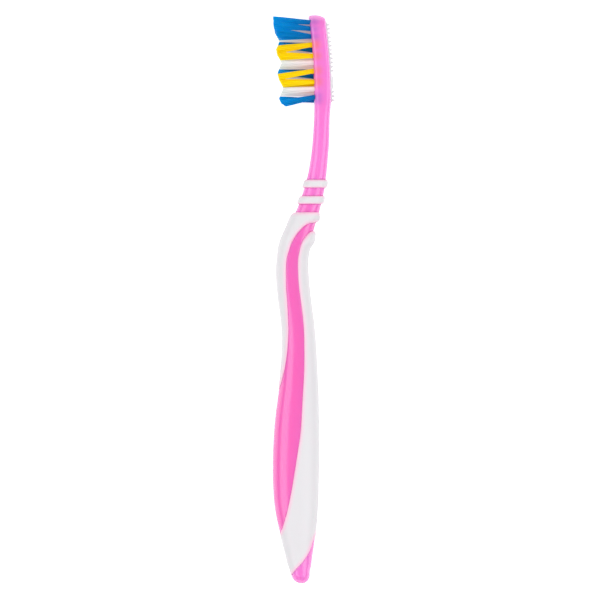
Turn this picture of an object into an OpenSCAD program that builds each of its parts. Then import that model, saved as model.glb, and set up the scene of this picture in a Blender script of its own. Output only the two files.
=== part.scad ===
// A manual toothbrush that lies on its side, in millimetres.
// +Y runs to the tip of the head, the bristles point to -X, and +Z is up from the table.
// The origin is under the middle of the brush, at the height of the table.

/* [Lengths] */
// Handle, from the tail to the top of the collar
handle_length = 124; // [110:1:140]
// Neck, from the collar to the foot of the head
neck_length = 35.5; // [30:0.5:45]
// Head, from its foot to its tip
head_length = 30.5; // [29:0.5:34]
// How far the head's middle stands behind the belly's middle
bend = 9.2; // [6:0.2:12]

/* [Handle] */
// Front to back through the belly of the handle
belly_depth = 15.4; // [13:0.2:18]
// Side to side across the belly
belly_width = 13; // [12:0.2:15]
// Length over which the tail rounds off
tail_round = 3.2; // [2.6:0.1:4]

/* [Neck and head] */
// Front to back through the slimmest part of the neck
neck_depth = 5.3; // [4.6:0.1:6.4]
// Side to side across the slimmest part of the neck
neck_width = 5.6; // [4.8:0.1:7]
// Thickness of the head, without its bristles
head_thickness = 5.5; // [4.8:0.1:6]
// Side to side across the head
head_width = 12.6; // [12:0.1:13]
// Length over which the head's outline rounds off at the tip
tip_round = 5.5; // [4.5:0.1:6]
// Length over which the head's thickness rounds off at the tip
tip_edge = 1.2; // [0.8:0.1:2.4]

/* [Soft grips] */
// Depth of the soft grips under the hard plastic's surface
grip_depth = 0.9; // [0.6:0.05:1.2]
// How far the grips stand out of the hard plastic
grip_proud = 0.2; // [0.1:0.05:0.5]
// How far the collar and the thumb stop stand out
lip_proud = 1.2; // [0.8:0.1:1.6]
// Rounding of the collar's top edge
collar_edge = 0.8; // [0.5:0.1:1.4]

/* [Neck rings] */
// Width of each ring along the neck
ring_width = 2.7; // [1.8:0.1:3]
// How far each ring stands out of the neck
ring_proud = 1; // [0.6:0.1:1.2]
// Depth of the groove that holds each ring
ring_depth = 0.6; // [0.4:0.1:0.9]

/* [Tongue cleaner] */
// Side to side across the pad on the head's back
pad_width = 8.4; // [6:0.2:9]
// Depth of the pad's recess
pad_depth = 0.7; // [0.5:0.05:0.8]
// How far the pad's surface stands out of the head
pad_proud = 0.3; // [0.2:0.05:0.5]
// Height of a nub above the pad
nub_height = 0.75; // [0.5:0.05:1]
// Diameter of a nub at its foot
nub_width = 0.8; // [0.6:0.05:0.9]
// Distance from one row of nubs to the next
nub_pitch = 1.4; // [1.1:0.1:1.8]

/* [Bristles] */
// Length of the longest bristles, outside the head
bristle_length = 12.5; // [10:0.5:14]
// Diameter of the hole that holds a tuft
bore_width = 1.8; // [1.6:0.05:1.85]
// Depth of that hole
bore_depth = 3.2; // [2.8:0.1:3.3]
// Thickness of one strand
strand_width = 0.34; // [0.28:0.02:0.34]
// How far a tuft's strands spread sideways at their tips
tip_spread = 1.15; // [1:0.05:1.2]
// Gap between a tuft's root and the wall of its hole
root_gap = 0.04; // [0.03:0.01:0.06]

/* [Anchors] */
// Height of the metal strip across a hole, along the hole
anchor_height = 1.2; // [1:0.1:1.4]
// Thickness of the strip
anchor_thickness = 0.3; // [0.2:0.05:0.35]

/* [Hidden] */
// Points round one section of the body
section_points = 20;
// Overrun of a cutting shape past the surface that it cuts
overrun = 2;
brush_length = handle_length + neck_length + head_length;

// Rows of the body: length share, middle share of the bend, depth share, width share, squareness
handle_shares = [
    [0.00, 0.230, 0.400, 0.54, 2.4],
    [0.03, 0.190, 0.415, 0.60, 2.4],
    [0.05, 0.170, 0.500, 0.64, 2.4],
    [0.08, 0.145, 0.590, 0.70, 2.4],
    [0.12, 0.115, 0.720, 0.78, 2.5],
    [0.17, 0.065, 0.860, 0.86, 2.5],
    [0.22, 0.035, 0.950, 0.92, 2.6],
    [0.28, 0.020, 0.990, 0.98, 2.6],
    [0.34, 0.030, 1.000, 1.00, 2.6],
    [0.40, 0.050, 0.985, 1.00, 2.6],
    [0.46, 0.075, 0.930, 0.98, 2.6],
    [0.52, 0.120, 0.855, 0.95, 2.6],
    [0.58, 0.140, 0.785, 0.92, 2.6],
    [0.64, 0.145, 0.725, 0.90, 2.6],
    [0.70, 0.095, 0.700, 0.90, 2.6],
    [0.76, -0.010, 0.700, 0.91, 2.6],
    [0.82, -0.090, 0.695, 0.92, 2.6],
    [0.87, -0.095, 0.675, 0.90, 2.6],
    [0.90, -0.040, 0.670, 0.86, 2.5],
    [0.92, 0.065, 0.625, 0.82, 2.5],
    [0.94, 0.145, 0.585, 0.77, 2.5],
    [0.96, 0.245, 0.555, 0.72, 2.5],
    [0.98, 0.335, 0.540, 0.68, 2.4],
    [1.00, 0.440, 0.515, 0.64, 2.4]];
neck_shares = [
    [0.08, 0.545, 1.395, 1.36, 2.4],
    [0.21, 0.685, 1.315, 1.20, 2.3],
    [0.35, 0.795, 1.180, 1.09, 2.3],
    [0.50, 0.875, 1.095, 1.03, 2.3],
    [0.68, 0.940, 1.055, 1.00, 2.4],
    [0.87, 0.970, 1.000, 1.14, 2.8]];
head_shares = [
    [0.00, 0.995, 1.005, 0.66, 3.6],
    [0.07, 1.000, 1.045, 0.79, 4.4],
    [0.20, 0.990, 1.025, 0.94, 5.4],
    [0.35, 0.975, 1.020, 1.00, 6.0],
    [0.60, 0.925, 1.000, 1.00, 6.0],
    [0.80, 0.855, 1.000, 0.97, 6.0],
    [0.90, 0.820, 1.000, 0.93, 5.4],
    [0.95, 0.805, 0.980, 0.92, 5.0],
    [1.00, 0.700, 0.960, 0.90, 4.4]];

// The same rows as sizes: place along the brush, middle, depth, width, squareness
stations = concat(
    [for (r = handle_shares)
        [r[0] * handle_length, r[1] * bend, r[2] * belly_depth, r[3] * belly_width, r[4]]],
    [for (r = neck_shares)
        [handle_length + r[0] * neck_length, r[1] * bend, r[2] * neck_depth, r[3] * neck_width, r[4]]],
    [for (r = head_shares)
        [brush_length - (1 - r[0]) * head_length, r[1] * bend, r[2] * head_thickness,
            r[3] * head_width, r[4]]]);

// A smooth curve through the rows of a table, column c at place y
function mix(a, b, t) = a + (b - a) * t;
function row_below(t, y, i = 0) = i >= len(t) - 2 || y < t[i + 1][0] ? i : row_below(t, y, i + 1);
function slope(t, i, c) =
    let (a = max(i - 1, 0), b = min(i + 1, len(t) - 1))
    (t[b][c] - t[a][c]) / (t[b][0] - t[a][0]);
function smooth(t, y, c) =
    let (i = row_below(t, y), span = t[i + 1][0] - t[i][0], u = (y - t[i][0]) / span)
    (2 * u ^ 3 - 3 * u ^ 2 + 1) * t[i][c] + (u ^ 3 - 2 * u ^ 2 + u) * span * slope(t, i, c)
        + (3 * u ^ 2 - 2 * u ^ 3) * t[i + 1][c] + (u ^ 3 - u ^ 2) * span * slope(t, i + 1, c);

// A round end, as a share of the full size at distance d from it
first_cap_angle = 12;
cap_rise = 1 - cos(first_cap_angle);
function end_round(d, r) =
    let (e = min(max(d / r, 0) * (1 - cap_rise) + cap_rise, 1))
    sqrt(1 - (1 - e) ^ 2);

// Middle, depth, width and squareness of the hard plastic at place y
function middle(y) = smooth(stations, y, 1);
function depth(y) =
    smooth(stations, y, 2) * end_round(y, tail_round) * end_round(brush_length - y, tip_edge);
function width(y) =
    smooth(stations, y, 3) * end_round(y, tail_round) * end_round(brush_length - y, tip_round);
function squareness(y) = smooth(stations, y, 4);
function front(y) = middle(y) - depth(y) / 2;
function back(y) = middle(y) + depth(y) / 2;

// One closed section at place y, grown outwards by g
function bow(v, n) = sign(v) * abs(v) ^ (2 / n);
function section(y, g = 0) = [
    for (i = [0 : section_points - 1])
        let (a = 360 * i / section_points, n = squareness(y))
        [middle(y) + (depth(y) / 2 + g) * bow(cos(a), n), y, (width(y) / 2 + g) * bow(sin(a), n)]];

// The surface of the head's back at place y and side place z, grown outwards by g
function back_surface(y, z, g) =
    let (n = squareness(y))
    middle(y) + (depth(y) / 2 + g) * (1 - abs(z / (width(y) / 2 + g)) ^ n) ^ (1 / n);

// Faces between ring i and ring i + 1 of rings of n points, first point at f
function band(i, n, f = 0) = [
    for (j = [0 : n - 1])
        let (p = f + i * n + j, q = f + i * n + (j + 1) % n)
        each [[p, q, q + n], [p, q + n, p + n]]];
function flipped(faces) = [for (f = faces) [f[2], f[1], f[0]]];

// A solid through a list of rings
module loft(rings) {
    n = len(rings[0]);
    last = (len(rings) - 1) * n;
    polyhedron(
        points = [for (r = rings) each r],
        faces = concat(
            [[for (j = [n - 1 : -1 : 0]) j]],
            [for (i = [0 : len(rings) - 2]) each band(i, n)],
            [[for (j = [0 : n - 1]) last + j]]));
}

// A tube between a list of outer rings and a list of inner ones
module sleeve(outer, inner) {
    n = len(outer[0]);
    rows = len(outer);
    f = rows * n;
    last = (rows - 1) * n;
    polyhedron(
        points = concat([for (r = outer) each r], [for (r = inner) each r]),
        faces = concat(
            [for (i = [0 : rows - 2]) each band(i, n)],
            flipped([for (i = [0 : rows - 2]) each band(i, n, f)]),
            [for (j = [0 : n - 1])
                let (k = (j + 1) % n)
                each [[j, f + k, k], [j, f + j, f + k]]],
            [for (j = [0 : n - 1])
                let (k = (j + 1) % n)
                each [[last + j, last + k, last + f + k], [last + j, last + f + k, last + f + j]]]));
}

// A curve through points, with extra points between them
curve_steps = 3;
function curve_point(p, i, u) =
    let (a = p[max(i - 1, 0)], b = p[i], c = p[i + 1], d = p[min(i + 2, len(p) - 1)])
    0.5 * (2 * b + (c - a) * u + (2 * a - 5 * b + 4 * c - d) * u ^ 2
        + (3 * b - a - 3 * c + d) * u ^ 3);
function curve(p) = concat(
    [for (i = [0 : len(p) - 2], s = [0 : curve_steps - 1]) curve_point(p, i, s / curve_steps)],
    [p[len(p) - 1]]);

// Edges of the grips seen from the side: share of the handle's length, share of its depth
front_edge_shares = [
    [0.505, -0.08], [0.520, -0.01], [0.543, 0.045], [0.584, 0.11], [0.629, 0.15],
    [0.683, 0.195], [0.750, 0.255], [0.805, 0.285], [0.867, 0.305], [0.899, 0.345],
    [0.915, 0.335], [0.930, 0.36], [0.942, 0.415], [0.954, 0.495], [0.964, 0.595],
    [0.970, 0.73], [0.9715, 0.91], [0.973, 1.03], [0.982, 1.12], [0.992, 1.31]];
back_edge_shares = [
    [0.915, 1.62], [0.926, 1.31], [0.937, 1.15], [0.9445, 1.06], [0.949, 0.97],
    [0.9485, 0.905], [0.943, 0.835], [0.934, 0.755], [0.923, 0.69], [0.911, 0.68],
    [0.895, 0.69], [0.866, 0.68], [0.818, 0.68], [0.780, 0.685], [0.740, 0.69],
    [0.700, 0.68], [0.650, 0.66], [0.575, 0.645], [0.495, 0.615], [0.414, 0.595],
    [0.360, 0.545], [0.306, 0.485], [0.252, 0.41], [0.198, 0.295], [0.160, 0.155],
    [0.137, 0.02], [0.120, -0.30]];
tail_edge_shares = [
    [0.004, -0.40], [0.015, -0.10], [0.025, 0.05], [0.040, 0.315], [0.057, 0.605],
    [0.085, 0.855], [0.122, 0.98], [0.150, 1.17]];
function on_handle(s) =
    let (y = s[0] * handle_length, c = smooth(stations, y, 1), d = smooth(stations, y, 2))
    [c + (s[1] - 0.5) * d, y];
function edge(shares) = [for (s = curve(shares)) on_handle(s)];
far_side = belly_depth + bend;

// The side view of each grip, as a block right across the brush
module front_side() {
    points = concat(edge(front_edge_shares), [
        [far_side, handle_length], [far_side, handle_length + overrun],
        [-far_side, handle_length + overrun], [-far_side, front_edge_shares[0][0] * handle_length]]);
    linear_extrude(belly_width + 2 * overrun, center = true) polygon(points);
}
module back_side() {
    points = concat(edge(back_edge_shares), [
        [-far_side, back_edge_shares[len(back_edge_shares) - 1][0] * handle_length],
        [-far_side, 0]], edge(tail_edge_shares), [
        [far_side, tail_edge_shares[len(tail_edge_shares) - 1][0] * handle_length],
        [far_side, back_edge_shares[0][0] * handle_length]]);
    linear_extrude(belly_width + 2 * overrun, center = true) polygon(points);
}

// Places of the sections along each stretch of the body
tail_steps = 4;
tail_places = [for (i = [0 : tail_steps - 1])
    let (a = mix(first_cap_angle, 90, i / tail_steps))
    tail_round * (1 - cos(a) - cap_rise) / (1 - cap_rise)];
handle_steps = 19;
handle_places = [for (i = [0 : handle_steps]) mix(tail_round, handle_length, i / handle_steps)];
neck_steps = 8;
neck_places = [for (i = [1 : neck_steps]) handle_length + neck_length * i / neck_steps];
head_steps = 6;
head_start = handle_length + neck_length;
head_places = [for (i = [1 : head_steps])
    mix(head_start, brush_length - tip_round, i / head_steps)];
tip_shares = [0.35, 0.6, 0.78, 0.9, 0.96, 1];
tip_places = [for (s = tip_shares) brush_length - tip_round * (1 - s)];
body_places = concat(tail_places, handle_places, neck_places, head_places, tip_places);

// Places of the sections of the grips, closer together where they thicken to the lip
grip_low_share = 0.012;
lip_low_share = 0.895;
lip_high_share = 0.925;
collar_step_share = 0.4;
grip_low = grip_low_share * handle_length;
lip_low = lip_low_share * handle_length;
lip_high = lip_high_share * handle_length;
collar_top = handle_length - collar_edge;
grip_steps = 15;
lip_steps = 7;
grip_places = concat(
    [for (i = [0 : grip_steps - 1]) mix(grip_low, lip_low, i / grip_steps)],
    [for (i = [0 : lip_steps]) mix(lip_low, collar_top, i / lip_steps)],
    [handle_length - collar_step_share * collar_edge, handle_length]);

// How far the grips stand out at place y
function ease(t) = let (u = min(max(t, 0), 1)) u * u * (3 - 2 * u);
collar_fall_share = 0.85;
function collar_round(d) = sqrt(1 - (collar_fall_share * max(1 - d / collar_edge, 0)) ^ 2);
function stand_out(y) =
    mix(grip_proud, lip_proud, ease((y - lip_low) / (lip_high - lip_low))) * collar_round(handle_length - y);

// Sections of a sleeve round the body: outer ones grown by g, inner ones cut in by d
function grown(places, g) = [for (y = places) section(y, g)];
module grip_skin() {
    sleeve([for (y = grip_places) section(y, stand_out(y))], grown(grip_places, -grip_depth));
}
module grip_recess() {
    sleeve(grown(grip_places, overrun), grown(grip_places, -grip_depth));
}

// Neck rings: place of the middle as a share of the neck, and the rounded profile
upper_ring_share = 0.27;
lower_ring_share = 0.117;
ring_profile_shares = [[0, 0.3], [0.22, 0.92], [0.5, 1], [0.78, 0.92], [1, 0.3]];
function ring_place(share, s) = handle_length + share * neck_length + (s - 0.5) * ring_width;
function ring_places(share) = [for (p = ring_profile_shares) ring_place(share, p[0])];
module ring(share) {
    sleeve([for (p = ring_profile_shares) section(ring_place(share, p[0]), ring_proud * p[1])],
        grown(ring_places(share), -ring_depth));
}
module ring_groove(share) {
    sleeve(grown(ring_places(share), overrun), grown(ring_places(share), -ring_depth));
}

// Tongue cleaner: its ends as shares of the head, and its sections
pad_low_share = 0.04;
pad_high_share = 0.93;
pad_steps = 6;
pad_low = head_start + pad_low_share * head_length;
pad_high = head_start + pad_high_share * head_length;
pad_middle = (pad_low + pad_high) / 2;
pad_reach = (pad_high - pad_low) / 2;
pad_places = [for (i = [0 : pad_steps])
    mix(pad_low - nub_width / 2, pad_high + nub_width / 2, i / pad_steps)];
pad_squareness = 2.8;
pad_points = 28;
pad_outline = [for (i = [0 : pad_points - 1])
    let (a = 360 * i / pad_points)
    [pad_middle + pad_reach * bow(cos(a), pad_squareness), pad_width / 2 * bow(sin(a), pad_squareness)]];
module pad_block() {
    translate([middle(pad_middle), 0, 0])
        rotate([90, 0, 90])
            linear_extrude(head_thickness) polygon(pad_outline);
}

// Tufts: share of the head's length at the root, low and high shares at the tips, colour
blue = "royalblue";
yellow = "gold";
white = "whitesmoke";
right_outer_shares = [
    [0.916, 0.923, 0.983, blue], [0.846, 0.857, 0.920, blue], [0.760, 0.714, 0.850, blue],
    [0.670, 0.578, 0.648, yellow], [0.548, 0.505, 0.571, yellow], [0.471, 0.418, 0.495, white],
    [0.382, 0.293, 0.345, yellow], [0.265, 0.215, 0.286, yellow], [0.187, 0.126, 0.200, white],
    [0.080, -0.008, 0.112, blue]];
right_inner_shares = [
    [0.885, 0.890, 0.950, white], [0.802, 0.780, 0.845, white], [0.714, 0.705, 0.758, white],
    [0.612, 0.642, 0.700, blue], [0.510, 0.500, 0.560, white], [0.426, 0.402, 0.458, white],
    [0.324, 0.345, 0.398, blue], [0.225, 0.205, 0.262, yellow], [0.132, 0.095, 0.160, white]];
left_inner_shares = [
    [0.885, 0.880, 0.940, blue], [0.802, 0.780, 0.840, white], [0.714, 0.660, 0.720, blue],
    [0.612, 0.545, 0.600, white], [0.510, 0.470, 0.530, white], [0.426, 0.358, 0.412, blue],
    [0.324, 0.257, 0.312, white], [0.225, 0.165, 0.222, blue], [0.132, 0.082, 0.142, white]];
left_outer_shares = [
    [0.916, 0.917, 0.978, blue], [0.846, 0.850, 0.912, blue], [0.760, 0.778, 0.845, blue],
    [0.670, 0.702, 0.765, yellow], [0.548, 0.542, 0.602, yellow], [0.471, 0.440, 0.500, white],
    [0.382, 0.374, 0.430, yellow], [0.265, 0.260, 0.318, yellow], [0.187, 0.140, 0.202, white],
    [0.080, 0.010, 0.110, blue]];
tuft_rows = [
    ["tuft_right_outer_", right_outer_shares, 0.69],
    ["tuft_right_inner_", right_inner_shares, 0.23],
    ["tuft_left_inner_", left_inner_shares, -0.23],
    ["tuft_left_outer_", left_outer_shares, -0.69]];
// Length of the trimmed bristles, as a share of the longest, along the head
trim_shares = [
    [-0.02, 0.72], [0.03, 0.89], [0.09, 0.94], [0.15, 0.87], [0.20, 0.82], [0.29, 0.93],
    [0.35, 0.97], [0.41, 0.92], [0.47, 0.84], [0.56, 0.95], [0.62, 0.97], [0.67, 0.90],
    [0.715, 0.86], [0.80, 0.96], [0.90, 1.00], [1.00, 0.97]];

// Strands of a tuft in two circles, as shares of its radius
inner_strand_share = 0.29;
outer_strand_share = 0.80;
inner_strands = 3;
outer_strands = 7;
function circle_shares(count, share) = [
    for (i = [1 : count]) let (a = 360 * i / count) share * [cos(a), sin(a)]];
strand_shares = concat(
    circle_shares(inner_strands, inner_strand_share), circle_shares(outer_strands, outer_strand_share));

function root_y(tuft) = head_start + tuft[0] * head_length;
function root_z(tuft, side) = side * width(root_y(tuft)) / 2;
function tip_y(tuft, u) = head_start + mix(tuft[1], tuft[2], (u + 1) / 2) * head_length;
function tip_x(y) =
    front(y) - bristle_length * lookup((y - head_start) / head_length, trim_shares);
function lean(tuft) =
    let (y = tip_y(tuft, 0))
    atan2(y - root_y(tuft), front(root_y(tuft)) - tip_x(y));

// Puts its children at a tuft's hole, with +Z out of the hole
module at_hole(tuft, side) {
    translate([front(root_y(tuft)), root_y(tuft), root_z(tuft, side)])
        rotate([0, -90, -lean(tuft)]) children();
}
root_radius = bore_width / 2 - root_gap;
bore_sides = 8;
// Height of the anchor's underside above the bottom of the hole
anchor_lift_share = 0.35;
anchor_lift = anchor_lift_share * anchor_height;
module bore(tuft, side) {
    at_hole(tuft, side)
        translate([0, 0, -bore_depth])
            cylinder(d = bore_width, h = bore_depth + overrun, $fn = bore_sides);
}
module anchor_strip(tuft, side, gap = 0) {
    at_hole(tuft, side)
        translate([0, 0, anchor_lift - bore_depth + anchor_height / 2])
            cube([anchor_thickness + 2 * gap, 2 * (root_radius + gap), anchor_height + 2 * gap],
                center = true);
}

// One strand from its foot inside the root to its tip, three-sided
strand_foot = strand_width;
// Depth of the root's top under the face of the head
root_top = strand_width / 2;
function triangle(x, y, z) = [
    for (a = [0 : 120 : 359])
        [x, y + strand_width / 2 * cos(a), z + strand_width / 2 * sin(a)]];
module strand(tuft, side, s) {
    foot_y = root_y(tuft) + s[0] * (root_radius - strand_width / 2);
    foot_z = root_z(tuft, side) + s[1] * (root_radius - strand_width / 2);
    end_y = tip_y(tuft, s[0]);
    end_z = root_z(tuft, side) + s[1] * tip_spread;
    foot_x = front(root_y(tuft)) + strand_foot;
    points = concat(triangle(foot_x, foot_y, foot_z), triangle(tip_x(end_y), end_y, end_z));
    polyhedron(points = points,
        faces = [[2, 1, 0], [1, 4, 0], [4, 3, 0], [2, 5, 1], [5, 4, 1], [0, 3, 2], [3, 5, 2], [4, 5, 3]]);
}

// A folded bundle: its root in the hole, cut through for the anchor, and its strands
module tuft(tuft, side) {
    color(tuft[3]) {
        difference() {
            at_hole(tuft, side)
                translate([0, 0, root_gap - bore_depth])
                    cylinder(r = root_radius, h = bore_depth - root_gap - root_top, $fn = bore_sides);
            anchor_strip(tuft, side, root_gap);
        }
        for (s = strand_shares) strand(tuft, side, s);
    }
}
module every_tuft() {
    for (row = tuft_rows, t = row[1]) {
        $tuft = t;
        $side = row[2];
        children();
    }
}

// Frame: the middle of the whole brush, seen from above, lies on the origin
belly_share = 0.31;
foremost = front(belly_share * handle_length);
rearmost = back(pad_low + nub_width) + pad_proud + nub_height;
rest_height = max(belly_width / 2 + grip_proud, head_width / 2);
module lying() {
    translate([-(foremost + rearmost) / 2, -brush_length / 2, rest_height]) children();
}

// One-piece hard plastic body: tail, handle, neck and head
module handle_core() {
    color("hotpink") lying() difference() {
        loft([for (y = body_places) section(y)]);
        intersection() {
            grip_recess();
            union() {
                front_side();
                back_side();
            }
        }
        ring_groove(upper_ring_share);
        ring_groove(lower_ring_share);
        intersection() {
            sleeve(grown(pad_places, overrun), grown(pad_places, -pad_depth));
            pad_block();
        }
        every_tuft() bore($tuft, $side);
    }
}

// Soft collar and front grip in one piece
module front_grip() {
    color("white") lying() intersection() {
        grip_skin();
        front_side();
    }
}

// Soft thumb stop and back grip, which crosses to the front at the tail
module back_grip() {
    color("white") lying() intersection() {
        grip_skin();
        back_side();
    }
}

module neck_ring_upper() {
    color("white") lying() ring(upper_ring_share);
}

module neck_ring_lower() {
    color("white") lying() ring(lower_ring_share);
}

// Soft pad with nubs and ridges on the head's back
nub_column_shares = [-0.75, -0.25, 0.25, 0.75];
nub_tip_share = 0.35;
ridge_column_shares = [-0.5, 0, 0.5];
ridge_low_share = 0.20;
ridge_high_share = 0.32;
ridge_low = head_start + ridge_low_share * head_length;
ridge_high = head_start + ridge_high_share * head_length;
nub_sink = nub_height / 4;
function pad_half(y) = pad_width / 2 * (1 - abs((y - pad_middle) / pad_reach) ^ pad_squareness)
    ^ (1 / pad_squareness);
module nub(y, z, sides) {
    translate([back_surface(y, z, pad_proud) - nub_sink, y, z])
        rotate([0, 90, 0])
            cylinder(d1 = nub_width, d2 = nub_tip_share * nub_width, h = nub_height + nub_sink, $fn = sides);
}
module ridge(share) {
    hull() {
        nub(ridge_low, share * pad_half(ridge_low), 8);
        nub(ridge_high, share * pad_half(ridge_high), 8);
    }
}
module tongue_cleaner() {
    rows = floor((2 * pad_reach - 2 * nub_width) / nub_pitch);
    color("white") lying() {
        intersection() {
            sleeve(grown(pad_places, pad_proud), grown(pad_places, -pad_depth));
            pad_block();
        }
        for (i = [0 : rows], s = nub_column_shares) {
            y = pad_low + nub_width + nub_pitch * i;
            if (y < ridge_low - nub_width || y > ridge_high + nub_width) nub(y, s * pad_half(y), 6);
        }
        for (s = ridge_column_shares) ridge(s);
    }
}

// Metal strips that hold the folded tufts in their holes
module tuft_anchors() {
    color("goldenrod") lying() every_tuft() anchor_strip($tuft, $side);
}

body_nodes = ["handle_core", "front_grip", "back_grip", "neck_ring_upper", "neck_ring_lower",
    "tongue_cleaner", "tuft_anchors"];
function tuft_name(row, i) = str(row[0], i < 9 ? "0" : "", i + 1);
tuft_nodes = [for (row = tuft_rows, i = [0 : len(row[1]) - 1]) tuft_name(row, i)];

handle_core();
front_grip();
back_grip();
neck_ring_upper();
neck_ring_lower();
tongue_cleaner();
tuft_anchors();
for (row = tuft_rows, i = [0 : len(row[1]) - 1])
    lying() tuft(row[1][i], row[2]);
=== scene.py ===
import math
import random
from bisect import bisect
from collections import namedtuple
from functools import lru_cache, partial

import bmesh
import bpy
from mathutils import Color, Matrix, Vector
from mathutils.kdtree import KDTree


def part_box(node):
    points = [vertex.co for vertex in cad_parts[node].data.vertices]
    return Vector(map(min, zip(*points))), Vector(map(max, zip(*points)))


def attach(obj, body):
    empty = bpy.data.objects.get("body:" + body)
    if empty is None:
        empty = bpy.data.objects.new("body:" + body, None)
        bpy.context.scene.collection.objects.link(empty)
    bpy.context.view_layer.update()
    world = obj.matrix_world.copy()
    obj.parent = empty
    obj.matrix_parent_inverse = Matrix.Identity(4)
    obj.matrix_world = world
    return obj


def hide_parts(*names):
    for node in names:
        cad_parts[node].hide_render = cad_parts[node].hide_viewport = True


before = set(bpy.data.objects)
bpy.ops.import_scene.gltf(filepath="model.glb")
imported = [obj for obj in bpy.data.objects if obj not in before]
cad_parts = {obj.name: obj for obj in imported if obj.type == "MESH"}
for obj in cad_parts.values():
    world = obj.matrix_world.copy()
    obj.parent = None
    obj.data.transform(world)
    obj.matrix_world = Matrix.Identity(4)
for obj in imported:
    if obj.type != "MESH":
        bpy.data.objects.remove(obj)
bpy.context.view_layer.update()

# Hard plastic body: tail, handle, neck and head in one piece.
# It is injection moulded from translucent pink polypropylene in a polished tool. The soft pieces are
# moulded onto it in a second shot, each into a seat that its own section below cuts here.
mm = 0.001
body_low, body_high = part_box("handle_core")
brush_length = body_high.y - body_low.y
handle_length = 124 * mm
neck_length = 35.5 * mm
head_length = brush_length - handle_length - neck_length
head_start = handle_length + neck_length
bend = 9.2 * mm
belly_depth = 15.4 * mm
belly_width = 13 * mm
neck_depth = 5.3 * mm
neck_width = 5.6 * mm
head_thickness = 5.5 * mm
head_width = 12.6 * mm
tail_round = 3.2 * mm
tip_round = 5.5 * mm
tip_edge = 1.2 * mm
parting_height = 0.05 * mm
parting_length_share = 0.9
body_columns = 128
body_step = 0.7 * mm
tail_rows = 14
tip_rows = 18
weld_distance = 0.001 * mm

# Rows of the body: length share, middle share of the bend, depth share, width share, squareness
handle_shares = [
    (0.00, 0.230, 0.400, 0.54, 2.4), (0.03, 0.190, 0.415, 0.60, 2.4), (0.05, 0.170, 0.500, 0.64, 2.4),
    (0.08, 0.145, 0.590, 0.70, 2.4), (0.12, 0.115, 0.720, 0.78, 2.5), (0.17, 0.065, 0.860, 0.86, 2.5),
    (0.22, 0.035, 0.950, 0.92, 2.6), (0.28, 0.020, 0.990, 0.98, 2.6), (0.34, 0.030, 1.000, 1.00, 2.6),
    (0.40, 0.050, 0.985, 1.00, 2.6), (0.46, 0.075, 0.930, 0.98, 2.6), (0.52, 0.120, 0.855, 0.95, 2.6),
    (0.58, 0.140, 0.785, 0.92, 2.6), (0.64, 0.145, 0.725, 0.90, 2.6), (0.70, 0.095, 0.700, 0.90, 2.6),
    (0.76, -0.010, 0.700, 0.91, 2.6), (0.82, -0.090, 0.695, 0.92, 2.6), (0.87, -0.095, 0.675, 0.90, 2.6),
    (0.90, -0.040, 0.670, 0.86, 2.5), (0.92, 0.065, 0.625, 0.82, 2.5), (0.94, 0.145, 0.585, 0.77, 2.5),
    (0.96, 0.245, 0.555, 0.72, 2.5), (0.98, 0.335, 0.540, 0.68, 2.4), (1.00, 0.440, 0.515, 0.64, 2.4)]
neck_shares = [
    (0.08, 0.545, 1.395, 1.36, 2.4), (0.21, 0.685, 1.315, 1.20, 2.3), (0.35, 0.795, 1.180, 1.09, 2.3),
    (0.50, 0.875, 1.095, 1.03, 2.3), (0.68, 0.940, 1.055, 1.00, 2.4), (0.87, 0.970, 1.000, 1.14, 2.8)]
head_shares = [
    (0.00, 0.995, 1.005, 0.66, 3.6), (0.07, 1.000, 1.045, 0.79, 4.4), (0.20, 0.990, 1.025, 0.94, 5.4),
    (0.35, 0.975, 1.020, 1.00, 6.0), (0.60, 0.925, 1.000, 1.00, 6.0), (0.80, 0.855, 1.000, 0.97, 6.0),
    (0.90, 0.820, 1.000, 0.93, 5.4), (0.95, 0.805, 0.980, 0.92, 5.0), (1.00, 0.700, 0.960, 0.90, 4.4)]
# Places along the handle among which its belly reaches furthest to the front
belly_shares = (0.28, 0.30, 0.31, 0.32, 0.34)

# A place along the body with its sizes there, and a cut through it, where the round ends count as well
Station = namedtuple("Station", "y middle depth width squareness")
Section = namedtuple("Section", "middle half_depth half_width squareness")


def stations_of(shares, start, length, depth, width):
    """One part of the body as stations, from rows of shares of that part's sizes."""
    return [Station(start + along * length, middle * bend, deep * depth, wide * width, squareness)
            for along, middle, deep, wide, squareness in shares]


stations = (stations_of(handle_shares, 0, handle_length, belly_depth, belly_width)
            + stations_of(neck_shares, handle_length, neck_length, neck_depth, neck_width)
            + stations_of(head_shares, head_start, head_length, head_thickness, head_width))


def smooth(y, size):
    """The curve through one size of the stations, such as their depth, at y from the tail."""
    i = min(max(bisect(stations, y, key=lambda station: station.y), 1), len(stations) - 1) - 1
    near, far = stations[i], stations[i + 1]

    def slope(k):
        before, after = stations[max(k - 1, 0)], stations[min(k + 1, len(stations) - 1)]
        return (getattr(after, size) - getattr(before, size)) / (after.y - before.y)

    span = far.y - near.y
    u = (y - near.y) / span
    return ((2 * u ** 3 - 3 * u ** 2 + 1) * getattr(near, size) + (u ** 3 - 2 * u ** 2 + u) * span * slope(i)
            + (3 * u ** 2 - 2 * u ** 3) * getattr(far, size) + (u ** 3 - u ** 2) * span * slope(i + 1))


def end_round(distance, radius):
    """A round end, as a share of the full size at that distance from it."""
    e = min(max(distance / radius, 0), 1)
    return math.sqrt(1 - (1 - e) ** 2)


@lru_cache(maxsize=None)
def section(y):
    """The hard plastic's section at y from the tail."""
    tail = end_round(y, tail_round)
    return Section(middle=smooth(y, "middle"),
                   half_depth=smooth(y, "depth") / 2 * tail * end_round(brush_length - y, tip_edge),
                   half_width=smooth(y, "width") / 2 * tail * end_round(brush_length - y, tip_round),
                   squareness=smooth(y, "squareness"))


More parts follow.
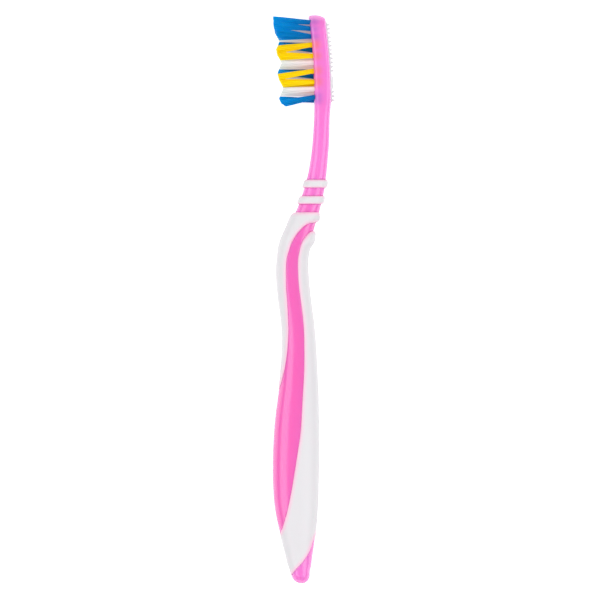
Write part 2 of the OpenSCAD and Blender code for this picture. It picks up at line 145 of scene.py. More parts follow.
belly_front = min(section(share * handle_length).middle - section(share * handle_length).half_depth
                  for share in belly_shares)
# Pieces are built with the tail at y = 0 and the mid-plane at z = 0, and then moved here.
place_in_frame = Vector((body_low.x - belly_front, body_low.y, (body_low.z + body_high.z) / 2))


def squircle(turn, squareness):
    """A point on a rounded square of half size 1."""
    c, s = math.cos(turn), math.sin(turn)
    reach = (abs(c) ** squareness + abs(s) ** squareness) ** (-1 / squareness)
    return c * reach, s * reach


def skin_point(y, turn, height=0.0):
    """The point above the plastic's surface at y from the tail. A turn of 0 is the back of the brush."""
    here = section(y)
    across, aside = squircle(turn, here.squareness)
    return Vector((here.middle + (here.half_depth + height) * across, y, (here.half_width + height) * aside))


def sheet(bm, rows, columns, place):
    """Bends a grid into a tube. place(row, column) gives each point, and the columns run round it."""
    grid = bmesh.ops.create_grid(bm, x_segments=rows - 1, y_segments=columns, size=1)["verts"]
    for v in grid:
        # The flat grid runs from -1 to 1, and its last column goes onto its first.
        row = round((v.co.x + 1) / 2 * (rows - 1))
        column = round((v.co.y + 1) / 2 * columns) % columns
        v.co = place(row, column)
    return grid


def close(bm):
    """Merges the seams and poles, fills open ends and turns every face outwards."""
    bmesh.ops.remove_doubles(bm, verts=bm.verts, dist=weld_distance)
    bmesh.ops.holes_fill(bm, edges=[e for e in bm.edges if e.is_boundary], sides=0)
    bmesh.ops.recalc_face_normals(bm, faces=bm.faces)


def piece_from(bm, name):
    """Turns finished mesh work into a smooth-shaded piece in its place."""
    bmesh.ops.translate(bm, verts=bm.verts, vec=place_in_frame)
    mesh = bpy.data.meshes.new(name)
    bm.to_mesh(mesh)
    bm.free()
    mesh.shade_smooth()
    piece = bpy.data.objects.new(name, mesh)
    bpy.context.scene.collection.objects.link(piece)
    return piece


def evenly(start, end, step):
    """Places from start up to end, about a step apart. End itself is left to what follows it."""
    count = max(1, round((end - start) / step))
    return [start + (end - start) * i / count for i in range(count)]


def quarter_turn(i, count):
    """The turn of one row of a round end that has so many rows."""
    return math.pi / 2 * i / count


def parting_line(y, column):
    """The raised line that the two halves of the mould leave along both sides of the neck."""
    along = (y - handle_length) / (parting_length_share * neck_length)
    on_a_side = column % (body_columns / 2) == body_columns / 4
    return parting_height * math.sqrt(math.sin(math.pi * along)) if on_a_side and 0 < along < 1 else 0


body_places = (
    [tail_round * (1 - math.cos(quarter_turn(i, tail_rows))) for i in range(tail_rows)]
    + evenly(tail_round, brush_length - tip_round, body_step)
    + [brush_length - tip_round * (1 - math.sin(quarter_turn(i, tip_rows))) for i in range(tip_rows + 1)])


def body_point(row, column):
    turn = 2 * math.pi * column / body_columns
    return skin_point(body_places[row], turn, parting_line(body_places[row], column))


bm = bmesh.new()
sheet(bm, len(body_places), body_columns, body_point)
close(bm)
body = piece_from(bm, "handle_body")


def colour(red, green, blue):
    """A colour as a paint chart gives it, 0 to 255, turned into light."""
    return (*Color((red / 255, green / 255, blue / 255)).from_srgb_to_scene_linear(), 1)


def new_material(name):
    material = bpy.data.materials.new(name)
    material.use_nodes = True
    return material


def fill(material, node, inputs):
    """Fills a node's inputs by name. An output of another node is linked, and anything else is a value."""
    for name, value in inputs.items():
        if isinstance(value, bpy.types.NodeSocket):
            material.node_tree.links.new(value, node.inputs[name])
        else:
            node.inputs[name].default_value = value


def add_node(material, kind, output, inputs, **settings):
    """Adds a node to a material and gives back its output of that name."""
    node = material.node_tree.nodes.new(kind)
    for name, value in settings.items():
        setattr(node, name, value)
    fill(material, node, inputs)
    return node.outputs[output]


def set_surface(material, inputs):
    """Fills inputs of the material's surface shader."""
    fill(material, material.node_tree.nodes["Principled BSDF"], inputs)


def noise(material, where, scale, detail):
    """A cloudy pattern from 0 to 1, whose scale is about how many clouds fit in a metre."""
    return add_node(material, "ShaderNodeTexNoise", "Fac",
                    {"Vector": where, "Scale": scale, "Detail": detail})


def bumps(material, pattern, strength, depth):
    """Small bumps that follow a pattern."""
    return add_node(material, "ShaderNodeBump", "Normal",
                    {"Height": pattern, "Strength": strength, "Distance": depth})


def mix(material, amount, low, high, **settings):
    """A colour between two, by an amount from 0 to 1."""
    return add_node(material, "ShaderNodeMix", "Result", {"Factor": amount, "A": low, "B": high},
                    data_type="RGBA", **settings)


def spread(material, amount, low, high):
    """A number between two, by an amount from 0 to 1."""
    return add_node(material, "ShaderNodeMapRange", "Result",
                    {"Value": amount, "To Min": low, "To Max": high})


def moulded(name, light, deep, roughness, grain):
    """A moulded plastic: two tones that drift along the brush, a fine grain and a slightly uneven gloss."""
    drift_scale = 120
    drift_stretch = (1, 0.2, 1)
    grain_scale = 1400
    grain_depth = 0.05 * mm
    gloss_share = 0.2
    material = new_material(name)
    where = add_node(material, "ShaderNodeTexCoord", "Object", {})
    along = add_node(material, "ShaderNodeMapping", "Vector", {"Vector": where, "Scale": drift_stretch})
    drift = noise(material, along, drift_scale, detail=3)
    fine = noise(material, where, grain_scale, detail=4)
    set_surface(material, {
        "Base Color": mix(material, drift, deep, light),
        "Roughness": spread(material, fine, roughness * (1 - gloss_share), roughness * (1 + gloss_share)),
        "Normal": bumps(material, fine, grain, grain_depth)})
    return material


def glow(material, weight, radius, reach):
    """Lets light scatter below the surface, as far as the radius of its colour times the reach."""
    set_surface(material, {"Subsurface Weight": weight, "Subsurface Radius": radius,
                           "Subsurface Scale": reach})


pink = moulded("pink_polypropylene", light=colour(254, 106, 196), deep=colour(251, 91, 184),
               roughness=0.22, grain=0.05)
set_surface(pink, {"Specular IOR Level": 1})
glow(pink, weight=0.35, radius=(3.0, 1.0, 1.8), reach=mm)
body.data.materials.append(pink)
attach(body, "root")
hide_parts("handle_core")

# Soft grips: the collar with the front grip, and the thumb stop with the back grip.
# White thermoplastic elastomer, moulded into a recess of the body. It stands a little proud of the
# hard plastic, thickens to a lip at the top, and its thin edges let the pink shine through.
grip_depth = 0.9 * mm
grip_proud = 0.2 * mm
lip_proud = 1.2 * mm
lip_low_share = 0.895
lip_high_share = 0.925
collar_edge = 1.1 * mm
collar_fall_share = 0.72
collar_slant_share = 0.33
collar_rows = 10
shoulder_share = 1.4
thin_reach = 0.75 * mm
# Edges of the grips seen from the side: share of the handle's length, share of its depth
front_edge_shares = [
    (0.505, -0.08), (0.520, -0.01), (0.543, 0.045), (0.584, 0.11), (0.629, 0.15), (0.683, 0.195),
    (0.750, 0.255), (0.805, 0.285), (0.867, 0.305), (0.899, 0.345), (0.915, 0.335), (0.930, 0.36),
    (0.942, 0.415), (0.954, 0.495), (0.964, 0.595), (0.970, 0.73), (0.9715, 0.91), (0.973, 1.03)]
back_edge_shares = [
    (0.137, 0.02), (0.160, 0.155), (0.198, 0.295), (0.252, 0.41), (0.306, 0.485), (0.360, 0.545),
    (0.414, 0.595), (0.495, 0.615), (0.575, 0.645), (0.650, 0.66), (0.700, 0.68), (0.740, 0.69),
    (0.780, 0.685), (0.818, 0.68), (0.866, 0.68), (0.895, 0.69), (0.911, 0.68), (0.923, 0.69),
    (0.934, 0.755), (0.943, 0.835), (0.9485, 0.905), (0.9495, 1.00)]
tail_edge_shares = [
    (0.004, -0.40), (0.015, -0.10), (0.025, 0.05), (0.040, 0.315), (0.057, 0.605), (0.085, 0.855),
    (0.122, 0.98), (0.150, 1.17)]
# Steps from one point of an edge to the next, and from one row of a grip to the next
edge_steps = 40
row_every = 8
grip_row_gap = 0.2 * mm
grip_row_step = 0.3 * mm
grip_columns = 34
least_turn = 0.001
# How far the tools that cut the seats of the soft pieces stand out of the body
cut_height = 2 * mm


def ease(t):
    """A soft start and a soft end between 0 and 1."""
    u = min(max(t, 0), 1)
    return u * u * (3 - 2 * u)


def stand_out(y, x):
    """How far the grips stand out of the hard plastic, at y from the tail and x from front to back.

    They thicken to the lip, and the collar's top edge falls in a curve, most of all at the front.
    """
    here = section(y)
    lip = ease((y / handle_length - lip_low_share) / (lip_high_share - lip_low_share))
    slant = 1 + collar_slant_share * (here.middle - x) / here.half_depth
    fall = collar_fall_share * slant * max(1 - (handle_length - y) / (collar_edge * slant), 0)
    return (grip_proud + (lip_proud - grip_proud) * lip) * math.sqrt(1 - fall ** 2)


def edge_point(length_share, depth_share):
    """The point at those shares of the handle's length and depth, seen from the side."""
    y = length_share * handle_length
    return Vector((section(y).middle + (depth_share - 0.5) * smooth(y, "depth"), y, 0))


def edge_line(shares):
    """A smooth line through the points of an edge, seen from the side, from the tail upwards."""
    points = [edge_point(*share) for share in shares]
    line = []
    for i in range(len(points) - 1):
        a, b, c, d = points[max(i - 1, 0)], points[i], points[i + 1], points[min(i + 2, len(points) - 1)]
        for u in (k / edge_steps for k in range(edge_steps)):
            line.append((2 * b + (c - a) * u + (2 * a - 5 * b + 4 * c - d) * u ** 2
                         + (3 * b - a - 3 * c + d) * u ** 3) / 2)
    return line + [points[-1]]


def turn_of(line, y):
    """The turn, from 0 at the back to half a turn at the front, at which an edge crosses the body at y."""
    i = min(max(bisect(line, y, key=lambda p: p.y), 1), len(line) - 1)
    low, high = line[i - 1], line[i]
    share = min(max((y - low.y) / max(high.y - low.y, weld_distance), 0), 1)
    here = section(y)
    across = min(max((low.x + (high.x - low.x) * share - here.middle) / here.half_depth, -1), 1)
    return math.atan2((1 - abs(across) ** here.squareness) ** (1 / here.squareness), across)


def nearness(lines):
    """A function that tells how far a point lies from some edge lines, seen from the side."""
    points = [p for line in lines for p in line]
    tree = KDTree(len(points))
    for i, point in enumerate(points):
        tree.insert(point, i)
    tree.balance()
    return lambda p: tree.find(Vector((p.x, p.y, 0)))[2]


def grip_solid(name, places, low_turn, high_turn, height):
    """A soft layer over the body between two turns, the same on both sides, sunk into its recess."""
    across = [(1 - math.cos(math.pi * k / grip_columns)) / 2 for k in range(grip_columns + 1)]
    loop = [(share, True) for share in across] + [(share, False) for share in reversed(across)]

    def point(row, column):
        y = places[row]
        share, outside = loop[column]
        turn = low_turn(y) + (high_turn(y) - low_turn(y)) * share
        return skin_point(y, turn, height(y, skin_point(y, turn)) if outside else -grip_depth)

    bm = bmesh.new()
    sheet(bm, len(places), len(loop), point)
    close(bm)
    # Where the layer goes on round the brush, each half has a wall on the mid-plane, which comes out.
    inner_walls = [f for f in bm.faces if all(abs(v.co.z) < weld_distance for v in f.verts)]
    bmesh.ops.delete(bm, geom=inner_walls, context="FACES")
    bmesh.ops.mirror(bm, geom=bm.verts[:] + bm.edges[:] + bm.faces[:], merge_dist=weld_distance, axis="Z")
    bmesh.ops.recalc_face_normals(bm, faces=bm.faces)
    return piece_from(bm, name)


def shoulder(from_edge):
    """The height of a soft surface that falls to the hard plastic in a round shoulder at its edge."""
    def height(y, point):
        full = stand_out(y, point.x)
        fall = 1 - min(from_edge(point) / (shoulder_share * full), 1)
        return full * math.sqrt(1 - fall ** 2)
    return height


def carve(piece, tool):
    """Cuts the tool out of a piece and takes the tool away."""
    cut = piece.modifiers.new("carve", "BOOLEAN")
    cut.object = tool
    cut.operation = "DIFFERENCE"
    cut.solver = "EXACT"
    graph = bpy.context.evaluated_depsgraph_get()
    piece.data = bpy.data.meshes.new_from_object(piece.evaluated_get(graph))
    piece.modifiers.clear()
    bpy.data.objects.remove(tool)


def fade(distance, reach):
    """1 at no distance, and softly less further away."""
    return math.exp(-(distance / reach) ** 2)


def mark(piece, name, amount):
    """Stores an amount at every point of a piece, for its material to read."""
    values = piece.data.attributes.new(name, "FLOAT", "POINT")
    for i, v in enumerate(piece.data.vertices):
        values.data[i].value = amount(v.co - place_in_frame)


def marked(material, name):
    """The amount that is stored on a piece under that name."""
    return add_node(material, "ShaderNodeAttribute", "Fac", {}, attribute_name=name)


def tint(material, name, shade):
    """Mixes a shade into a material's colour by the amount that is marked under that name."""
    shader = material.node_tree.nodes["Principled BSDF"]
    before = shader.inputs["Base Color"].links[0].from_socket
    set_surface(material, {"Base Color": mix(material, marked(material, name), before, shade)})


front_line = edge_line(front_edge_shares)
back_line = edge_line(back_edge_shares)
tail_line = edge_line(tail_edge_shares)
collar_places = [handle_length - collar_edge * (1 - math.sin(quarter_turn(i, collar_rows)))
                 for i in range(collar_rows + 1)]
front_places = ([p.y for p in front_line[::row_every]]
                + evenly(front_line[-1].y + grip_row_gap, collar_places[0], grip_row_step) + collar_places)
back_places = sorted(p.y for p in tail_line[::row_every] + back_line[::row_every])
# Rows of each grip, the turns between which it lies, and how far a point is from its edges
grips = {
    "front_grip": (front_places, partial(turn_of, front_line), lambda y: math.pi, nearness([front_line])),
    "back_grip": (back_places, partial(turn_of, tail_line), partial(turn_of, back_line),
                  nearness([tail_line, back_line]))}

rubber = moulded("white_elastomer", light=colour(232, 230, 233), deep=colour(226, 223, 227),
                 roughness=0.45, grain=0.12)
tint(rubber, "thin", colour(255, 202, 226))
glow(rubber, weight=0.25, radius=(1.2, 0.9, 1.0), reach=mm)
for name, (rows, low_turn, high_turn, from_edge) in grips.items():
    places = [y for y in rows if low_turn(y) < high_turn(y) - least_turn]
    grip = grip_solid(name + "_skin", places, low_turn, high_turn, shoulder(from_edge))
    carve(body, grip_solid("recess", places, low_turn, high_turn, lambda y, point: cut_height))
    mark(grip, "thin", lambda p: fade(min(from_edge(p), abs(handle_length - p.y)), thin_reach))
    grip.data.materials.append(rubber)
    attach(grip, "root")
    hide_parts(name)

# Neck rings: two soft ribs round the neck, above the collar.
# They are of the same white elastomer, in one shot with the grips, and each fills a groove of the body.
ring_width = 2.7 * mm
ring_proud = 0.85 * mm
ring_depth = 0.6 * mm
ring_edge_share = 0.3
ring_flatness = 3.5
ring_fullness = 0.6
ring_thin_reach = 0.6 * thin_reach
ring_middle_shares = {"neck_ring_upper": 0.27, "neck_ring_lower": 0.117}
ring_steps = 20
ring_columns = 96


def ring_solid(name, middle, height):
    """A ring round the neck. height(share) is its height above the plastic at that share of its width."""
    rows = [(i / ring_steps, height(i / ring_steps)) for i in range(ring_steps + 1)]
    rows += [(1, -ring_depth), (0, -ring_depth), rows[0]]

    def point(row, column):
        share, out = rows[row]
        return skin_point(middle + (share - 0.5) * ring_width, 2 * math.pi * column / ring_columns, out)

    bm = bmesh.new()
    sheet(bm, len(rows), ring_columns, point)
    close(bm)
    return piece_from(bm, name)


def rib(share):
    """The ring's rounded top, at a share of its width."""
    crown = (1 - abs(2 * share - 1) ** ring_flatness) ** ring_fullness
    return ring_proud * (ring_edge_share + (1 - ring_edge_share) * crown)


for name, middle_share in ring_middle_shares.items():
    ring_middle = handle_length + middle_share * neck_length
    ring = ring_solid(name + "_rib", ring_middle, rib)
    carve(body, ring_solid("groove", ring_middle, lambda share: cut_height))
    mark(ring, "thin", lambda p: fade(ring_width / 2 - abs(p.y - ring_middle), ring_thin_reach))
    ring.data.materials.append(rubber)
    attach(ring, "root")
    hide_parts(name)

# Tongue cleaner: a soft pad with rows of small nubs and three ridges on the head's back.
# Milky elastomer, moulded into a shallow recess of the head.
pad_width = 8.4 * mm
pad_depth = 0.7 * mm
pad_proud = 0.45 * mm
pad_low = head_start + 0.04 * head_length
pad_high = head_start + 0.93 * head_length
pad_middle = (pad_low + pad_high) / 2
pad_reach = (pad_high - pad_low) / 2
pad_squareness = 2.8
pad_columns = 96
# The pad's top from its middle to its edge: share of its reach, share of its height
pad_top_shares = [(0, 1), (0.3, 1), (0.6, 1), (0.85, 1), (0.93, 0.97), (0.97, 0.85), (0.99, 0.6), (1, 0)]
nub_height = 0.9 * mm
nub_sink = nub_height / 4
nub_width = 0.8 * mm
nub_foot_edge = 0.02 * mm
nub_tip_share = 0.35
nub_tip_rows = 3
nub_columns = 12
nub_pitch = 1.4 * mm
nub_aside_shares = (-0.75, -0.25, 0.25, 0.75)
ridge_height = 0.5 * mm
ridge_low = head_start + 0.20 * head_length
ridge_high = head_start + 0.32 * head_length
ridge_aside_shares = (-0.5, 0, 0.5)


def back_point(y, z, height):
    """The point above the head's back at y from the tail and z from the mid-plane."""
    here = section(y)
    aside = abs(z / (here.half_width + height)) ** here.squareness
    return Vector((here.middle + (here.half_depth + height) * (1 - aside) ** (1 / here.squareness), y, z))


def pad_point(y, aside_share):
    """The point of the pad's top at y from the tail and at a share of the way to its side."""
    along = abs((y - pad_middle) / pad_reach) ** pad_squareness
    return back_point(y, aside_share * pad_width / 2 * (1 - along) ** (1 / pad_squareness), pad_proud)


def pad_solid(bm, top):
    """The pad, whose top is given as rows of share of its reach and height above the head."""
    rows = top + [(1, -pad_depth), (0, -pad_depth)]

    def point(row, column):
        share, height = rows[row]
        along, aside = squircle(2 * math.pi * column / pad_columns, pad_squareness)
        return back_point(pad_middle + share * along * pad_reach, share * aside * pad_width / 2, height)

    sheet(bm, len(rows), pad_columns, point)


def add_nub(bm, low, high, top):
    """A round-tipped nub of height top, or a ridge where its two ends lie apart."""
    tip = nub_tip_share * nub_width / 2
    profile = [(-nub_sink, 0), (-nub_sink, nub_width / 2), (nub_foot_edge, nub_width / 2 - nub_foot_edge)]
    for turn in (quarter_turn(i, nub_tip_rows) for i in range(nub_tip_rows + 1)):
        profile.append((top - tip + tip * math.sin(turn), tip * math.cos(turn)))

    def point(row, column):
        height, radius = profile[row]
        turn = 2 * math.pi * (column + 0.5) / nub_columns
        end = high if math.cos(turn) > 0 else low
        return end + Vector((height, radius * math.cos(turn), radius * math.sin(turn)))

    sheet(bm, len(profile), nub_columns, point)


bm = bmesh.new()
pad_solid(bm, [(share, height_share * pad_proud) for share, height_share in pad_top_shares])
nub_rows = int((2 * pad_reach - 2 * nub_width) / nub_pitch) + 1
for y in (pad_low + nub_width + nub_pitch * i for i in range(nub_rows)):
    if y < ridge_low - nub_width or y > ridge_high + nub_width:
        for share in nub_aside_shares:
            add_nub(bm, pad_point(y, share), pad_point(y, share), nub_height)
for share in ridge_aside_shares:
    add_nub(bm, pad_point(ridge_low, share), pad_point(ridge_high, share), ridge_height)
close(bm)
pad = piece_from(bm, "tongue_pad")
bm = bmesh.new()
pad_solid(bm, [(0, cut_height), (1, cut_height)])
close(bm)
carve(body, piece_from(bm, "pad_recess"))
milky = moulded("milky_elastomer", light=colour(243, 243, 246), deep=colour(236, 235, 240),
                roughness=0.38, grain=0.08)
glow(milky, weight=0.3, radius=(1.5, 1.3, 1.4), reach=mm)
pad.data.materials.append(milky)
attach(pad, "root")
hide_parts("tongue_cleaner")

# Bristle tufts: bundles of nylon filaments, folded in half and stapled into holes of the head.
# The rows cross each other, one tuft leaning to the tip and the next to the neck, and the ends are
# trimmed to a wave and rounded.
bristle_length = 12.5 * mm
hole_width = 1.8 * mm
hole_depth = 3.2 * mm
hole_overrun = 1 * mm
hole_clearance = 0.04 * mm
hole_sides = 20
filaments = 46
filament_width = 0.25 * mm
filament_tip_share = 0.7
filament_sides = 6
fold_gap = 2 * filament_width
root_reach = hole_width / 2 - hole_clearance - filament_width / 2
tip_spread = 1.15 * mm
uneven = 0.05 * mm
golden_turn = math.pi * (3 - math.sqrt(5))
# How much a bundle draws in above its hole, and over what share of its length
waist_share = 0.05
waist_end_share = 1 / 2.2
# Places of a filament's rings on its way from the hole's mouth to its tip
path_shares = (0.0, 0.12, 0.26, 0.42, 0.6, 0.8, 0.985, 1.0)
# Tufts from the head's tip: share of its length at the root, low and high shares at the tips, colour
right_outer_shares = [
    (0.916, 0.900, 0.983, "blue"), (0.846, 0.842, 0.937, "blue"), (0.760, 0.714, 0.868, "blue"),
    (0.670, 0.568, 0.664, "yellow"), (0.548, 0.498, 0.592, "yellow"), (0.471, 0.426, 0.492, "white"),
    (0.382, 0.285, 0.348, "yellow"), (0.265, 0.209, 0.293, "yellow"), (0.187, 0.126, 0.200, "white"),
    (0.096, -0.008, 0.062, "blue")]
right_inner_shares = [
    (0.885, 0.890, 0.950, "white"), (0.802, 0.780, 0.845, "white"), (0.714, 0.705, 0.758, "white"),
    (0.612, 0.642, 0.700, "blue"), (0.510, 0.500, 0.560, "white"), (0.426, 0.402, 0.458, "white"),
    (0.324, 0.345, 0.398, "blue"), (0.225, 0.205, 0.262, "yellow"), (0.132, 0.117, 0.165, "white")]
left_inner_shares = [
    (0.885, 0.880, 0.940, "blue"), (0.802, 0.780, 0.840, "white"), (0.714, 0.660, 0.720, "blue"),
    (0.612, 0.545, 0.600, "white"), (0.510, 0.470, 0.530, "white"), (0.426, 0.358, 0.412, "blue"),
    (0.324, 0.257, 0.312, "white"), (0.225, 0.165, 0.222, "blue"), (0.132, 0.117, 0.160, "white")]
left_outer_shares = [
    (0.916, 0.917, 0.978, "blue"), (0.846, 0.850, 0.912, "blue"), (0.760, 0.778, 0.845, "blue"),
    (0.670, 0.702, 0.765, "yellow"), (0.548, 0.542, 0.602, "yellow"), (0.471, 0.440, 0.500, "white"),
    (0.382, 0.374, 0.430, "yellow"), (0.265, 0.260, 0.318, "yellow"), (0.187, 0.140, 0.202, "white"),
    (0.066, 0.048, 0.112, "blue")]
# Rows of tufts with their places across the head, as shares of its half width
tuft_rows = (("right_outer", right_outer_shares, 0.69), ("right_inner", right_inner_shares, 0.23),
             ("left_inner", left_inner_shares, -0.23), ("left_outer", left_outer_shares, -0.69))
# Length of the trimmed bristles, as a share of the longest, along the head
trim_shares = [
    (-0.02, 0.72), (0.03, 0.89), (0.09, 0.94), (0.15, 0.87), (0.20, 0.82), (0.29, 0.93), (0.35, 0.97),
    (0.41, 0.92), (0.47, 0.84), (0.56, 0.95), (0.62, 0.97), (0.67, 0.90), (0.715, 0.86), (0.80, 0.95),
    (0.90, 0.97), (1.00, 0.955)]
chance = random.Random(5)


def nylon(name, light, deep, painted_glow):
    """Nylon filament: glossy, with painted shade towards the root, and no two filaments quite alike.

    Filaments also glow by an emission of their own colour, a painted light that stands in for the light they
    pass on to each other.
    """
    streak_scale = 3000
    least_shade, most_shade = 0.9, 1.05
    least_roughness, most_roughness = 0.3, 0.5
    material = new_material(name)
    where = add_node(material, "ShaderNodeTexCoord", "Object", {})
    streaks = noise(material, where, streak_scale, detail=2)
    # painted shade: from the deep colour at the root to the light one at the tip
    tones_with_painted_root_shade = mix(material, marked(material, "reach"), deep, light)
    shade = spread(material, marked(material, "shade"), least_shade, most_shade)
    varied = mix(material, 1, tones_with_painted_root_shade, shade, blend_type="MULTIPLY")
    set_surface(material, {
        "Base Color": varied,
        "Roughness": spread(material, streaks, least_roughness, most_roughness),
        "Specular IOR Level": 0.15,
        # painted glow: the filament gives off light of its own colour
        "Emission Color": varied,
        "Emission Strength": painted_glow})
    glow(material, weight=1, radius=(1, 1, 1), reach=0.15 * mm)
    return material


# Each deep colour is painted shade at the roots, and the white nylon's is pinkish, a painted reflection of
# the pink head.
nylons = {
    # the last number of each is the strength of its painted glow
    "blue": nylon("blue_nylon", colour(0, 164, 236), deep=colour(2, 116, 186), painted_glow=0.05),
    "yellow": nylon("yellow_nylon", colour(255, 224, 6), deep=colour(255, 212, 14), painted_glow=0.09),
    "white": nylon("white_nylon", colour(213, 221, 218), deep=colour(224, 206, 208), painted_glow=0.26)}


def trimmed(share):
    """Length of a trimmed bristle at that share of the head's length."""
    for (low, a), (high, b) in zip(trim_shares, trim_shares[1:]):
        if share <= high:
            return bristle_length * (a + (b - a) * max(share - low, 0) / (high - low))
    return bristle_length * trim_shares[-1][1]


def front_point(y, z):
    """The point on the middle of the head's front at y from the tail, set off to z."""
    here = section(min(y, brush_length - tip_edge))
    return Vector((here.middle - here.half_depth, y, z))


def tip_point(share, z):
    """Where a trimmed bristle ends, at that share of the head's length and at z from the mid-plane."""
    tip = front_point(head_start + share * head_length, z)
    tip.x -= trimmed(share)
    return tip


def circle_point(radius, turn):
    """A point of a circle that faces along the bristles, from its middle."""
    return radius * Vector((0, math.cos(turn), math.sin(turn)))


def add_hole(bm, bottom, top):
    """The round tool that cuts one tuft's hole."""
    rows = [(bottom, 0), (bottom, hole_width / 2), (top, hole_width / 2), (top, 0)]

    def point(row, column):
        middle, radius = rows[row]
        return middle + circle_point(radius, 2 * math.pi * column / hole_sides)

    sheet(bm, len(rows), hole_sides, point)


def filament_path(foot, mouth, lean, tip):
    """The line of one filament, from deep in its hole, through its foot in the mouth, to its tip."""
    start = foot - lean * (hole_depth - fold_gap)
    waist = (mouth - foot) * waist_share
    return [start] + [foot.lerp(tip, share) + waist * math.sin(math.pi * min(share / waist_end_share, 1))
                      for share in path_shares]


def tuft_solid(name, mouth, lean, low, high):
    """A bundle of filaments, evenly spread in its hole, whose tips lie between the low and high shares."""
    bm = bmesh.new()
    reach_layer = bm.verts.layers.float.new("reach")
    shade_layer = bm.verts.layers.float.new("shade")
    for k in range(filaments):
        out = math.sqrt((k + 0.5) / filaments)
        along, aside = out * math.cos(k * golden_turn), out * math.sin(k * golden_turn)
        tip = tip_point(low + (high - low) * (along + 1) / 2, mouth.z + aside * tip_spread)
        tip += Vector([chance.uniform(-uneven, uneven) for _ in "xyz"])
        foot = mouth + Vector((0, along * root_reach, aside * root_reach))
        path = filament_path(foot, mouth, lean, tip)
        radii = [filament_width / 2] * (len(path) - 2) + [filament_tip_share * filament_width / 2, 0]

        def point(row, column):
            return path[row] + circle_point(radii[row], 2 * math.pi * column / filament_sides)

        shade = chance.random()
        for v in sheet(bm, len(path), filament_sides, point):
            v[reach_layer] = min(max((mouth.x - v.co.x) / bristle_length, 0), 1)
            v[shade_layer] = shade
    close(bm)
    return piece_from(bm, name)


holes = bmesh.new()
outer_roots = {"blue": [], "yellow": [], "white": []}
for row, shares, side in tuft_rows:
    for number, (root, low, high, shade_name) in enumerate(shares, 1):
        root_y = head_start + root * head_length
        root_z = side * section(root_y).half_width
        mouth = front_point(root_y, root_z)
        lean = (tip_point((low + high) / 2, root_z) - mouth).normalized()
        bottom = mouth - lean * hole_depth
        add_hole(holes, bottom, mouth + lean * hole_overrun)
        if row.endswith("outer"):
            outer_roots[shade_name].append((mouth, bottom))
        tuft = tuft_solid(f"bristles_{row}_{number:02d}", mouth, lean, low, high)
        tuft.data.materials.append(nylons[shade_name])
        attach(tuft, "root")
        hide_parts(f"tuft_{row}_{number:02d}")
close(holes)
carve(body, piece_from(holes, "tuft_holes"))

# With its last seats cut, the body gets painted light and shade in its colour. The translucent plastic is
# painted paler where it is slim, a painted glow of light through the thin plastic, and the folded roots of
# the outer tufts are painted in where they show through it, with painted shade near the blue ones and
# painted shine near the yellow ones, down to half the depth of their holes.
slim_neck_start = handle_length - neck_length / 2
slim_tail_end = 6 * tail_round
slim_tail_fade = 4 * tail_round
shine_depth_share = 0.5
shine_strength = 0.62
shine_reach = 1.4 * mm
shine_start = head_start - 2 * mm


def slimness(p):
    """How slim the brush is at a point, from 0 on the belly to 1 on the upper neck and at the tail."""
    return max(ease((p.y - slim_neck_start) / neck_length), ease((slim_tail_end - p.y) / slim_tail_fade))


def distance_to(p, a, b):
    """Distance of a point from the line between two others, seen from the side."""
    p, a, b = (Vector((q.x, q.y, 0)) for q in (p, a, b))
    share = min(max((p - a).dot(b - a) / (b - a).length_squared, 0), 1)
    return (p - a.lerp(b, share)).length


def shine_of(roots):
    """A function that tells how strongly these roots' painted shine and shade lie in the plastic's colour at
    a point.
    """
    lines = [(mouth, mouth.lerp(bottom, shine_depth_share)) for mouth, bottom in roots]

    def shine(p):
        if p.y < shine_start:
            return 0
        return shine_strength * fade(min(distance_to(p, a, b) for a, b in lines), shine_reach)
    return shine


# painted glow: the pink is painted paler where the brush is slim, for light through the thin plastic
mark(body, "slim", slimness)
tint(pink, "slim", colour(252, 122, 214))
# painted shade: the blue roots darken the pink towards purple near them
mark(body, "blue_root_painted_shade", shine_of(outer_roots["blue"]))
tint(pink, "blue_root_painted_shade", colour(190, 104, 205))
# painted shine: the yellow roots turn the pink orange near them
mark(body, "yellow_root_painted_shine", shine_of(outer_roots["yellow"]))
tint(pink, "yellow_root_painted_shine", colour(255, 120, 110))


# Wire anchors: a flat strip across the fold of every tuft, deep in its hole.
# Drawn brass wire, cut off and driven in with the tuft. The part's own solids stay, with this metal.
def drawn_brass():
    """Brass with the fine lines that a drawing die leaves along the wire."""
    line_scale = 6000
    line_stretch = (1, 1, 0.1)
    line_strength = 0.2
    line_depth = 0.01 * mm
    least_roughness, most_roughness = 0.22, 0.42
    material = new_material("drawn_brass")
    where = add_node(material, "ShaderNodeTexCoord", "Object", {})
    along = add_node(material, "ShaderNodeMapping", "Vector", {"Vector": where, "Scale": line_stretch})
    lines = noise(material, along, line_scale, detail=3)
    set_surface(material, {
        "Base Color": mix(material, lines, colour(196, 164, 96), colour(226, 198, 132)),
        "Metallic": 1,
        "Roughness": spread(material, lines, least_roughness, most_roughness),
        "Normal": bumps(material, lines, line_strength, line_depth)})
    return material


brass = drawn_brass()
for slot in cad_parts["tuft_anchors"].material_slots:
    slot.material = brass

# Table, lamps and camera.
# A matt white table under the brush, a long soft lamp on either side of it, and a camera above.
table_reach = 2
table_glow = 0.6
world_strength = 0.47
lamp_distance = 1.3
lamp_tilt = math.radians(42)
lamp_width = 1.0
lamp_length = 2.4
lamp_power = 11
photo_pixels = 600
pixel = 0.3342 * mm
camera_lens = 500
camera_sensor = 36
camera_height = photo_pixels * pixel * camera_lens / camera_sensor
camera_x = -1.15 * mm
camera_y = -0.25 * mm


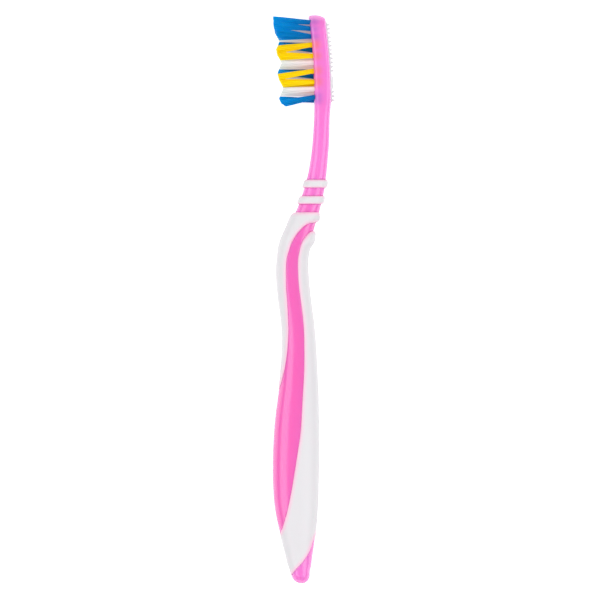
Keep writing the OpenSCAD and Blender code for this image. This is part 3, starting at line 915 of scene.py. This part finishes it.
def white_table():
    """Matt white that shows as plain white to the camera, in gloss and through clear plastic."""
    material = new_material("white_table")
    path = material.node_tree.nodes.new("ShaderNodeLightPath")
    shows = path.outputs["Is Camera Ray"]
    for ray in ("Is Glossy Ray", "Is Transmission Ray"):
        either = material.node_tree.nodes.new("ShaderNodeMath")
        either.operation = "MAXIMUM"
        material.node_tree.links.new(shows, either.inputs[0])
        material.node_tree.links.new(path.outputs[ray], either.inputs[1])
        shows = either.outputs["Value"]
    set_surface(material, {
        "Base Color": (0.9, 0.9, 0.9, 1),
        "Roughness": 0.9,
        "Specular IOR Level": 0,
        "Emission Color": (1, 1, 1, 1),
        "Emission Strength": spread(material, shows, 0, table_glow)})
    return material


# piece_from moves its mesh by place_in_frame, so the table is made that far back.
bm = bmesh.new()
bmesh.ops.create_grid(bm, x_segments=1, y_segments=1, size=table_reach,
                      matrix=Matrix.Translation(-place_in_frame))
table = piece_from(bm, "table")
table.data.materials.append(white_table())

world = bpy.data.worlds.new("studio")
world.use_nodes = True
background = world.node_tree.nodes["Background"]
background.inputs["Color"].default_value = (1, 1, 1, 1)
background.inputs["Strength"].default_value = world_strength
bpy.context.scene.world = world

for side in (-1, 1):
    lamp_data = bpy.data.lights.new("soft_lamp", "AREA")
    lamp_data.shape = "RECTANGLE"
    lamp_data.size = lamp_width
    lamp_data.size_y = lamp_length
    lamp_data.energy = lamp_power
    lamp = bpy.data.objects.new("soft_lamp", lamp_data)
    lamp.location = lamp_distance * Vector((side * math.sin(lamp_tilt), 0, math.cos(lamp_tilt)))
    lamp.rotation_euler = (0, side * lamp_tilt, 0)
    bpy.context.scene.collection.objects.link(lamp)

camera_data = bpy.data.cameras.new("camera")
camera_data.lens = camera_lens
camera_data.sensor_width = camera_sensor
camera = bpy.data.objects.new("camera", camera_data)
camera.location = (camera_x, camera_y, place_in_frame.z + camera_height)
bpy.context.scene.collection.objects.link(camera)
bpy.context.scene.camera = camera
bpy.context.scene.view_settings.view_transform = "Standard"
